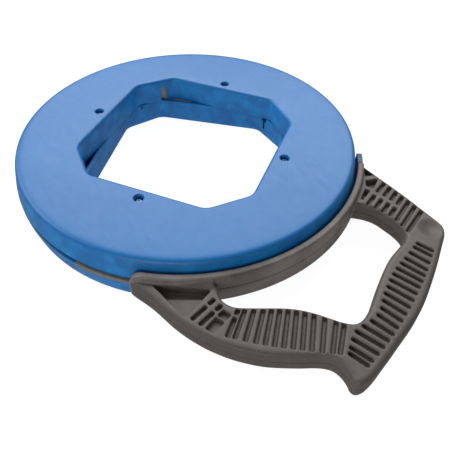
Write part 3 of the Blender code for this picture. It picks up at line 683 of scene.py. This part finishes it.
def wall_holes(name):
    """Two small round holes that go level through the lower wall."""
    pins = []
    profile = [(0.0, -6.0), (SMALL_HOLE_RADIUS, -6.0), (SMALL_HOLE_RADIUS, 6.0), (0.0, 6.0)]
    for i, (distance, direction, along, height) in enumerate(LOWER_HOLES):
        pin = lathe(f"{name}_{i}", profile, steps=20)
        pin.data.transform(Matrix.Rotation(math.radians(90.0), 4, "Y"))
        pin.data.transform(Matrix.Translation((distance * MM, along * MM, height * MM)))
        turned(pin, direction)
        pins.append(pin)
    return merge(pins)


def case_half(name, side, wall, turn, slits):
    """One half of the case with its bosses, slits and screw holes; side is 1 for the upper half."""
    shell = rows_to_piece(name, shell_rows(side, wall, turn), ends_meet=True)
    places = [polar(SCREW_CIRCLE, 90.0 * i) for i in range(4)]
    ends = sorted((MID + side * SEAM, MID + side * (CEILING + 0.8)))
    boss = [(0.0, ends[0]), (BOSS_RADIUS, ends[0]), (BOSS_RADIUS, ends[1]), (0.0, ends[1])]
    carve(shell, posts(name + "_bosses", places, boss, 36), operation="UNION")
    cutters = []
    for i, (angle, width, height) in enumerate(slits):
        low, high = sorted((MID - side * (5.0 + i), MID + side * height))
        span = [polar(OPENING_CORNER_DISTANCE + reach, angle) for reach in SLIT_REACH]
        cutters.append(bars(f"{name}_slit_{i}", [(*span, width)], low, high))
    if side > 0:
        floor = HEIGHT - RECESS_DEPTH
        lip = RECESS_RADIUS + 0.6
        recess = [(0.0, 22.0), (CASE_SCREW_HOLE, 22.0), (CASE_SCREW_HOLE, floor),
                  (RECESS_RADIUS - 0.7, floor), (RECESS_RADIUS - 0.45, floor + 0.3),
                  (RECESS_RADIUS - 0.4, HEIGHT - 1.5), (RECESS_RADIUS - 0.25, HEIGHT - 0.95),
                  (lip - 0.25, HEIGHT - 0.2), (lip, HEIGHT + 0.05), (lip, HEIGHT + 1.0), (0.0, HEIGHT + 1.0)]
        cutters.append(posts(name + "_recesses", places, recess, 40))
    else:
        hole = [(0.0, 3.0), (CASE_SCREW_HOLE, 3.0), (CASE_SCREW_HOLE, MID + 5.0), (0.0, MID + 5.0)]
        cutters.append(posts(name + "_holes", places, hole, 24))
    carve(shell, *cutters)
    mend(shell)
    if side < 0:
        carve(shell, wall_holes(name + "_small"))
    turned(shell, CASE_TURN)
    return shell


def cross_recess(name, centre, radius, top, depth, turn):
    """Two crossed cutters in the shape of a crosshead bit, pointing down from a screw's head."""
    arms = []
    for k in range(2):
        x, y = polar(radius, turn + 90.0 * k)
        arms.append(((centre[0] - x, centre[1] - y), (centre[0] + x, centre[1] + y), radius * 0.42))
    first = bars(name + "_a", arms[:1], top - depth, top + 1.0)
    second = bars(name + "_b", arms[1:], top - depth - 0.02, top + 1.1)
    return first, second


def case_screw(name, centre, turn):
    """A pan-head screw, turned from one profile."""
    seat = HEIGHT - RECESS_DEPTH + 0.05
    profile = [(0.0, seat + 2.4), (1.6, seat + 2.38), (2.5, seat + 2.15), (3.1, seat + 1.6),
               (3.38, seat + 0.9), (3.4, seat + 0.2), (3.2, seat), (CASE_SCREW_CREST, seat)]
    height = seat - 1.0
    while height > 12.0:
        profile += [(CASE_SCREW_CREST, height), (CASE_SCREW_ROOT, height - 0.55),
                    (CASE_SCREW_CREST, height - 1.1)]
        height -= CASE_THREAD_PITCH
    profile += [(1.5, 9.8), (0.6, 8.2), (0.0, 8.0)]
    screw = lathe(name, profile, centre, 40)
    carve(screw, *cross_recess(name, centre, 1.9, seat + 2.4, 1.5, turn))
    turned(screw, CASE_TURN)
    return screw


def tape_windings():
    """The coil: several turns wide and several rows high, each turn a closed band of tape."""
    bands = []
    section = rounded_section(-0.72, 0.72, -1.53, 1.53, 0.35, 2)
    for row in range(WINDING_ROWS):
        for k in range(WINDINGS_WIDE):
            wobble = WOBBLE * math.sin(2.3 * row + 1.7 * k)
            radius = WINDING_RADIUS + WINDING_PITCH * k + wobble * 0.6
            ring = arc(radius, 0.0, 360.0, 180)[:-1]
            rise = LOWEST_ROW + ROW_PITCH * row + wobble
            shifted = [(left, up + rise) for left, up in section]
            bands.append(sweep(f"winding_{row}_{k}", ring, shifted, closed=True))
    coil = merge(bands)
    coil.name = "tape_windings"
    turned(coil, CASE_TURN)
    return coil


def tape_tail():
    """The innermost run of tape: a spiral from the anchor clip out to the windings."""
    path = []
    for i in range(TAIL_STEPS + 1):
        share = i / TAIL_STEPS
        rise = share * share * (3.0 - 2.0 * share)
        radius = TAIL_START_RADIUS + (TAIL_END_RADIUS - TAIL_START_RADIUS) * rise
        path.append(polar(radius, TAIL_START + TAIL_TURN * share))
    tail = sweep("tape_tail_run", path, rounded_section(-0.75, 0.75, -4.2, -1.0, 0.35, 2))
    turned(tail, CASE_TURN)
    return tail


def anchor_clip():
    """A flat tab beside the lower wall, bent up behind the upper wall, with an arm behind the slit."""
    side_angle = 90.0 + LOWER_TURN
    out, along = Vector(polar(1.0, side_angle)), Vector(polar(1.0, side_angle + 90.0))
    near = OPENING_HALF_WIDTH + LOWER_WALL + CLIP_GAP
    corner = corner_point(OPENING_HALF_WIDTH + UPPER_WALL + CLIP_GAP, 90.0,
                          OPENING_CORNER_DISTANCE + UPPER_WALL + CLIP_GAP, 135.0)
    beyond, behind = Vector(polar(1.0, 225.0)), Vector(polar(1.0, 135.0))
    riser = [corner + beyond * 4.0, corner + beyond * 11.5]
    tab = [out * near + along * CLIP_TAB_START, out * near + along * riser[1].dot(along),
           riser[1] + behind * 1.2, riser[0] + behind * 1.2,
           out * (near + CLIP_TAB_DEPTH) + along * CLIP_TAB_START]
    clip = prism("tape_anchor", [tuple(p) for p in tab], CLIP_TAB_LOW, CLIP_TAB_HIGH, 0.25, 2)
    middle = [a + behind * 0.6 for a in riser]
    upright = bars("anchor_riser", [(middle[0], middle[1], 1.1)], 21.5, 25.0)
    arm_line = [corner + beyond * reach + behind * 0.65 for reach in (8.5, 15.5)]
    arm = bars("anchor_arm", [(arm_line[0], arm_line[1], 1.0)], 23.5, CLIP_ARM_TOP)
    carve(clip, upright, arm, operation="UNION")
    soften(clip, 0.22, 2)
    turned(clip, CASE_TURN)
    return clip


# ---------------------------------------------------------------- tape outlet

def leader_line(start, end, steps):
    """Points along the straight line on which the tape leaves the windings."""
    first = Vector(polar(LEADER_RADIUS, LEADER_ANGLE))
    along = Vector(polar(1.0, LEADER_ANGLE + 90.0))
    return [tuple(first + along * (start + (end - start) * i / steps)) for i in range(steps + 1)]


def tape_leader():
    section = rounded_section(-0.75, 0.75, -1.6, 1.6, 0.35)
    return sweep("tape_leader_run", leader_line(0.0, LEADER_LENGTH, 24), section)


def tape_tip():
    """The formed end: thicker than the tape, with a rounded nose."""
    start = LEADER_LENGTH + 0.3
    line = leader_line(start, start + TIP_LENGTH, 12)
    rows = []
    across = Vector(polar(1.0, LEADER_ANGLE + 180.0))
    section = rounded_section(-0.95, 0.95, -2.1, 2.1, 0.6)
    for i, (x, y) in enumerate(line):
        nose = max(0.0, (i - 7) / 5)
        scale = math.sqrt(max(0.06, 1.0 - nose * nose))
        rows.append([(x + across.x * left * scale, y + across.y * left * scale, MID + up * scale)
                     for left, up in section])
    return rows_to_piece("tape_end", rows, ends_meet=False, capped=True)


def exit_nozzle():
    """Blue block at the saddle's upper end: the tape runs through it along the coil's tangent."""
    outline = band(SADDLE_INNER + 0.2, NOZZLE_OUTER, SADDLE_END + 0.1, NOZZLE_END, 10)
    nozzle = prism("tape_outlet", outline, MID - NOZZLE_HALF_HEIGHT, MID + NOZZLE_HALF_HEIGHT, 0.9, 3)
    peg = band(TENON_INNER, TENON_OUTER, TENON_START, SADDLE_END + 1.5, 8)
    tenon = prism("outlet_tenon", peg, MID - TENON_HALF_HEIGHT, MID + TENON_HALF_HEIGHT, 0.3, 1)
    carve(nozzle, tenon, operation="UNION")
    line = leader_line(35.0, 90.0, 1)
    carve(nozzle, bars("outlet_channel", [(line[0], line[1], 2.7)], MID - 2.6, MID + 2.6))
    soften(nozzle, 0.3, 3)
    return nozzle


def guide_rail():
    """T section swept round the rim slot: a web between the rims and a flange behind them."""
    section = [(-157.35, -1.6), (-157.35, 1.6), (-157.2, 1.75), (-152.2, 1.75), (-152.2, 5.7), (-151.9, 6.0),
               (-149.9, 6.0), (-149.6, 5.7), (-149.6, -5.7), (-149.9, -6.0), (-151.9, -6.0), (-152.2, -5.7),
               (-152.2, -1.75), (-157.2, -1.75)]
    rows = []
    steps = 180
    for i in range(steps + 1):
        direction = polar(1.0, RAIL_START + (RAIL_END - RAIL_START) * i / steps)
        rows.append([(-left * direction[0], -left * direction[1], MID + up) for left, up in section])
    return rows_to_piece("guide_rail_strip", rows, ends_meet=False, capped=True)


# ---------------------------------------------------------------- handle

def slots_between(inner_points, outer_points):
    """Evenly spread slots whose ends follow a smooth line through the points on each side."""
    inner, outer = smooth_path(inner_points, 3), smooth_path(outer_points, 3)
    return [(start, end, SLOT_WIDTH) for start, end in zip(inner, outer)]


def split_slot(start, end, width, first_share, second_share):
    """A slot in two lengths, with a rib left between the two shares of its run."""
    start, end = Vector(start), Vector(end)
    return [(start, start.lerp(end, first_share), width), (start.lerp(end, second_share), end, width)]


def leg_slots():
    """The square-ended slots of both legs; those near the saddle are split by a cross rib."""
    lower = slots_between(LEG_SLOTS_INNER, LEG_SLOTS_OUTER)
    places = split_slot(*lower[0], 0.22, 0.30) + lower[1:]
    for start, end, width in FOOT_SLOTS:
        places += split_slot(start, end, width, 0.28, 0.36)
    places += split_slot(*WIDE_FOOT_SLOT, 0.33, 0.40)
    for i in range(UPPER_LEG_SLOTS):
        outer = (148.6 + 6.85 * i, 102.9 - 0.6 * i)
        inner = (157.2 + 6.6 * i, 73.6 - 0.42 * (i - 3.2) ** 2)
        if i < UPPER_LEG_SPLIT:
            places += split_slot(outer, inner, SLOT_WIDTH, 0.45, 0.58)
        else:
            places.append((outer, inner, SLOT_WIDTH))
    return places


def clear_of_screws(places):
    """The slots of the lower half that leave room for the screw heads."""
    kept = []
    for start, end, width in places:
        start, end = Vector(start), Vector(end)
        run = end - start
        spans = []
        for spot in SCREW_PLACES:
            share = max(0.0, min(1.0, (Vector(spot) - start).dot(run) / run.length_squared))
            spans.append((Vector(spot) - start.lerp(end, share)).length)
        if min(spans) > SCREW_RECESS_RADIUS + width / 2 + 0.8:
            kept.append((start, end, width))
    return kept


def between(side, inner, outer):
    """Two distances from mid height, as (low, high) on one half's side."""
    return sorted((MID + side * inner, MID + side * outer))


def end_drop(reach, rounding):
    """How far a rounded end has fallen at a distance from the end."""
    inside = max(0.0, rounding - reach)
    return rounding - math.sqrt(max(rounding * rounding - inside * inside, 0.0))


def saddle(name, side):
    """The tall curved wall that holds the case: a thin lip, a rounded outer edge and rounded-off ends."""
    top = SADDLE_HALF_HEIGHT
    outline = [(SADDLE_INNER, -3.0), (SADDLE_INNER, top - 0.7), (SADDLE_INNER + 0.2, top - 0.2),
               (SADDLE_INNER + 0.7, top)]
    for x, y in arc(SADDLE_LIP_ROUND, 90.0, 0.0, 8):
        outline.append((SADDLE_OUTER - SADDLE_LIP_ROUND + x, top - SADDLE_LIP_ROUND + y))
    outline.append((SADDLE_OUTER, -3.0))
    rows = []
    span = math.radians(SADDLE_END - SADDLE_START) * SADDLE_OUTER
    reaches = [0.0, 0.3, 0.9, 1.8, 3.0, 4.4, 6.0, 7.8, 9.6]
    middle = [9.6 + (span - 19.2) * i / 80 for i in range(1, 80)]
    stations = reaches + middle + [span - reach for reach in reaches[::-1]]
    for station in stations:
        drop = max(end_drop(station, SADDLE_START_ROUND), end_drop(span - station, SADDLE_END_ROUND))
        direction = polar(1.0, SADDLE_START + math.degrees(station / SADDLE_OUTER))
        rows.append([(radius * direction[0], radius * direction[1],
                      MID + side * (height - drop if height > 0 else height)) for radius, height in outline])
    return rows_to_piece(name, rows, ends_meet=False, capped=True)


def saddle_fillet(name):
    """The slope that runs from the saddle's wall down to the edge of the foot pocket."""
    near_end, far_end = (Vector(place) for place in FILLET_FOOT)
    rows = []
    for i in range(25):
        share = i / 24
        foot = near_end.lerp(far_end, share)
        wall = polar(FILLET_RADIUS, FILLET_ANGLE + FILLET_SPAN * share)
        rows.append([(*wall, MID + 4.0), (*wall, MID + FILLET_HEIGHT),
                     (*foot, MID + LEG_HALF_HEIGHT + 0.1), (*foot, MID + 4.0)])
    return rows_to_piece(name, rows, ends_meet=False, capped=True)


def corner_dish(name):
    """A shallow round hollow in the top of the grip's upper corner."""
    top = MID + LEG_HALF_HEIGHT
    profile = []
    for step in range(17):
        share = step / 16
        dip = 0.5 + 0.5 * math.cos(math.pi * share)
        profile.append((DISH_RADIUS * share, top + DISH_RISE - (DISH_DEPTH + DISH_RISE) * dip))
    profile += [(DISH_RADIUS, top + 2.0), (0.0, top + 2.0)]
    return lathe(name, profile, DISH_PLACE, 56)


def handle_half(name, side):
    """One half of the handle: legs, grip and saddle with their grooves, slots, pockets and screw holes."""
    inner = smooth_path(FINGER_EDGE, 6)[::-1]
    outline = (smooth_path(OUTER_EDGE, 6) + arc(LEG_ROOT_RADIUS, SADDLE_END - 0.3, FINGER_END, 10) + inner
               + arc(LEG_ROOT_RADIUS, FINGER_START, SADDLE_START + 0.3, 14))
    low, high = between(side, -8.0, LEG_HALF_HEIGHT)
    half = prism(name, outline, low, high, LEG_EDGE_ROUND, 4)
    carve(half, prism(name + "_bore", arc(LEG_END_RADIUS, 0.0, 358.0, 179), MID - 30.0, MID + 30.0))
    carve(half, saddle(name + "_saddle", side), operation="UNION")
    if side > 0:
        carve(half, saddle_fillet(name + "_fillet"), operation="UNION")
    low, high = between(side, -7.0, GROOVE_HALF_HEIGHT)
    channel = band(SADDLE_INNER - 2.0, 157.7, SADDLE_START - 1.0, RAIL_END + 0.5, 90)
    groove = prism(name + "_groove", channel, low, high)
    low, high = between(side, -9.3, TENON_HALF_HEIGHT + MORTISE_PLAY)
    socket = band(TENON_INNER - MORTISE_PLAY, TENON_OUTER + MORTISE_PLAY, 36.8, SADDLE_END + 1.0, 8)
    mortise = prism(name + "_mortise", socket, low, high)
    low, high = between(side, LEG_HALF_HEIGHT - SLOT_DEPTH, LEG_HALF_HEIGHT + 1.0)
    grip, legs = slots_between(GRIP_SLOTS_INNER, GRIP_SLOTS_OUTER), leg_slots()
    if side < 0:
        grip, legs = clear_of_screws(grip), clear_of_screws(legs)
    grip_cutter = stadiums(name + "_grip", grip, low, high)
    carve(half, groove, mortise, grip_cutter, bars(name + "_legs", legs, low, high))
    if side > 0:
        top = MID + LEG_HALF_HEIGHT
        for label, (shape, depth) in POCKETS.items():
            carve(half, prism(f"{name}_{label}", shape, top - depth, top + 1.0))
        carve(half, corner_dish(name + "_dish"))
        hole = [(0.0, MID - 9.0), (SCREW_HOLE_RADIUS, MID - 9.0), (SCREW_HOLE_RADIUS, SCREW_HOLE_TOP),
                (0.0, SCREW_HOLE_TOP)]
        carve(half, posts(name + "_holes", SCREW_PLACES, hole, 16))
    else:
        bottom = MID - LEG_HALF_HEIGHT
        hole = [(0.0, bottom - 2.0), (3.5, bottom - 2.0), (3.5, bottom), (SCREW_RECESS_RADIUS, bottom + 0.5),
                (SCREW_RECESS_RADIUS, bottom + 2.6), (SCREW_HOLE_RADIUS, bottom + 2.6),
                (SCREW_HOLE_RADIUS, MID + 9.0), (0.0, MID + 9.0)]
        carve(half, posts(name + "_holes", SCREW_PLACES, hole, 24))
    low, high = between(side, -20.0, SEAM)
    carve(half, prism(name + "_trim", [(-400, -400), (400, -400), (400, 400), (-400, 400)], low, high))
    soften(half, HANDLE_VOXEL, 4)
    return half


def handle_screw(name, centre, turn):
    """A screw driven up from below, turned from one profile."""
    seat = MID - LEG_HALF_HEIGHT + 2.55
    bottom = seat - 1.8
    profile = [(0.0, bottom), (1.2, bottom + 0.02), (2.0, bottom + 0.25), (2.5, bottom + 0.7),
               (2.7, bottom + 1.3), (2.6, seat), (1.1, seat)]
    height = seat + 0.8
    while height < 28.0:
        profile += [(1.1, height), (0.92, height + 0.4), (1.1, height + 0.8)]
        height += 0.9
    profile += [(0.5, 29.2), (0.0, 29.4)]
    screw = lathe(name, profile, centre, 32)
    first, second = cross_recess(name, centre, 1.5, bottom + 1.1, 0.0, turn)
    for cutter, drop in ((first, 1.2), (second, 1.25)):
        cutter.data.transform(Matrix.Translation((0.0, 0.0, -drop * MM)))
    carve(screw, first, second)
    return screw


# ---------------------------------------------------------------- build

def build_reel():
    looks = make_materials()
    upper = case_half("case_top", 1, UPPER_WALL, 0.0, UPPER_SLITS)
    finish_piece(upper, "case", "case_plastic", looks["case"], "upper_case_shell")
    lower = case_half("case_bottom", -1, LOWER_WALL, LOWER_TURN, LOWER_SLITS)
    finish_piece(lower, "case", "case_plastic", looks["case"], "lower_case_shell")
    for i in range(4):
        screw = case_screw(f"case_bolt_{i + 1}", polar(SCREW_CIRCLE, 90.0 * i), 20.0 + 37.0 * i)
        finish_piece(screw, "case", "screw_steel", looks["zinc"], f"case_screw_{i + 1}")
    finish_piece(tape_windings(), "case", "tape_steel", looks["tape"], "tape_coil", smooth_angle=50.0)
    finish_piece(tape_tail(), "case", "tape_steel", looks["tape"], "tape_tail", smooth_angle=50.0)
    finish_piece(anchor_clip(), "case", "tape_steel", looks["clip"], "tape_anchor_clip", smooth_angle=None)
    finish_piece(tape_leader(), "tape_leader", "tape_steel", looks["tape"], "tape_leader", smooth_angle=50.0)
    finish_piece(tape_tip(), "tape_leader", "tape_steel", looks["tape"], "tape_tip", smooth_angle=50.0)
    finish_piece(exit_nozzle(), "handle", "case_plastic", looks["outlet"], "exit_nozzle", smooth_angle=None)
    finish_piece(guide_rail(), "handle", "rail_plastic", looks["rail"], "guide_rail")
    halves = (("handle_top", 1, "handle_upper_half"), ("handle_bottom", -1, "handle_lower_half"))
    for name, side, node in halves:
        half = handle_half(name, side)
        finish_piece(half, "handle", "handle_plastic", looks["handle"], node, smooth_angle=None)
    for i, place in enumerate(SCREW_PLACES):
        screw = handle_screw(f"handle_bolt_{i + 1}", place, 15.0 + 50.0 * i)
        finish_piece(screw, "handle", "screw_steel", looks["zinc"], f"handle_screw_{i + 1}")


# ---------------------------------------------------------------- studio

def aim(obj, target):
    direction = Vector(target) - obj.location
    obj.rotation_euler = direction.to_track_quat("-Z", "Y").to_euler()


def area_light(name, azimuth, elevation, distance, width, height, power):
    """A softbox that faces the reel; azimuth as the camera's, 0 looking along +Y."""
    light = bpy.data.lights.new(name, "AREA")
    light.shape = "RECTANGLE"
    light.size, light.size_y = width, height
    light.energy = power
    lamp = bpy.data.objects.new(name, light)
    scene.collection.objects.link(lamp)
    turn, lift = math.radians(azimuth), math.radians(elevation)
    lamp.location = (distance * math.sin(turn) * math.cos(lift), -distance * math.cos(turn) * math.cos(lift),
                     distance * math.sin(lift))
    aim(lamp, (0.0, 0.0, 0.02))


def studio():
    """A plain pale floor that glows evenly, a pale world and three softboxes."""
    points = [(-6.0, -6.0, 0.0), (6.0, -6.0, 0.0), (6.0, 6.0, 0.0), (-6.0, 6.0, 0.0)]
    mesh = bpy.data.meshes.new("floor")
    mesh.from_pydata(points, [], [(0, 1, 2, 3)])
    floor = bpy.data.objects.new("floor", mesh)
    floor.location.z = -0.0003
    scene.collection.objects.link(floor)
    surface, nodes, links, shader = new_material("pale_floor")
    place = nodes.new("ShaderNodeTexCoord").outputs["Object"]
    grain = noise(nodes, links, place, 40.0, 3.0)
    cloud = spread(nodes, links, grain, 0.0, 1.0)
    tone = blend_colours(nodes, links, cloud, (0.16, 0.16, 0.16), (0.18, 0.18, 0.18))
    links.new(tone, shader.inputs["Base Color"])
    shader.inputs["Roughness"].default_value = 0.9
    shader.inputs["Specular IOR Level"].default_value = 0.1
    shader.inputs["Emission Color"].default_value = (1.0, 1.0, 1.0, 1.0)
    shader.inputs["Emission Strength"].default_value = 0.95
    surface.cycles.emission_sampling = "NONE"
    mesh.materials.append(surface)
    floor.visible_glossy = False  # so that the plastic doesn't mirror the bright ground
    world = bpy.data.worlds.new("studio")
    scene.world = world
    world.use_nodes = True
    background = world.node_tree.nodes["Background"]
    background.inputs["Color"].default_value = (1.0, 1.0, 1.0, 1.0)
    background.inputs["Strength"].default_value = 0.25
    area_light("softbox_back", 230.0, 46.0, 2.2, 2.6, 1.5, 66.0)
    area_light("softbox_left", 305.0, 34.0, 2.2, 1.6, 0.9, 24.0)
    area_light("softbox_front", 35.0, 14.0, 2.2, 1.6, 0.8, 16.0)
    scene.view_settings.view_transform = "Standard"


def camera():
    """A view about 50 degrees round from the front and 46 degrees up, in strong perspective."""
    data = bpy.data.cameras.new("camera")
    data.sensor_width = 36.0
    data.lens = CAMERA_LENS
    obj = bpy.data.objects.new("camera", data)
    scene.collection.objects.link(obj)
    place = Matrix.Translation((AXIS_X + CAMERA_PLACE[0], CAMERA_PLACE[1], CAMERA_PLACE[2]))
    turn = Matrix.Rotation(math.radians(CAMERA_TURN), 4, "Z")
    tilt = Matrix.Rotation(math.radians(90.0 - CAMERA_HEIGHT_ANGLE), 4, "X")
    roll = Matrix.Rotation(math.radians(CAMERA_ROLL), 4, "Z")
    obj.matrix_world = place @ turn @ tilt @ roll
    scene.camera = obj


build_reel()
studio()
camera()
